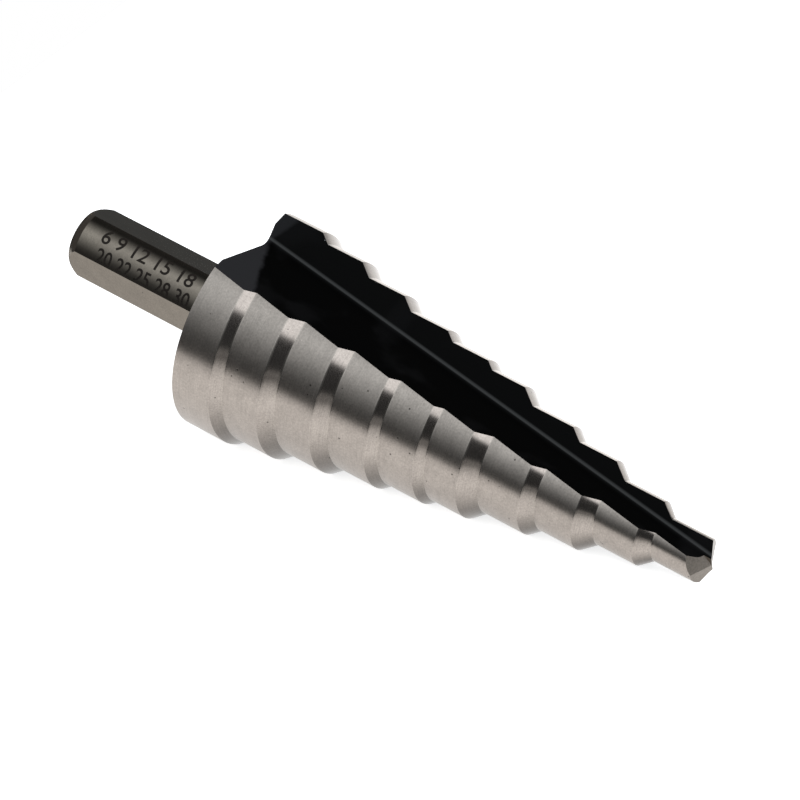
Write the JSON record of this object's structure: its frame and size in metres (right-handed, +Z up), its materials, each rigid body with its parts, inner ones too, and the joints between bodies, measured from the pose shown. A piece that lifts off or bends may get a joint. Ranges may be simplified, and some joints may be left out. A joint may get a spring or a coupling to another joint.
{
  "type": "step drill",
  "caption": "Straight-fluted step drill bit with a ground stepped cone, a split point and a round shank with flats, lying as it rests.",
  "frame": {"origin": "centre of the bounding box at the bench that the drill lies on", "axes": "+Z up from the bench; +X along the bench from the shank to the tip; the drill's own axis lies in the XZ plane and falls 8.1 degrees towards the tip"},
  "size_m": [0.0984, 0.0304, 0.0271],
  "materials": {
    "ground_steel": "ground bright, flutes black"
  },
  "bodies": {
    "root": {"step_drill": "ground_steel"}
  },
  "joints": []
}
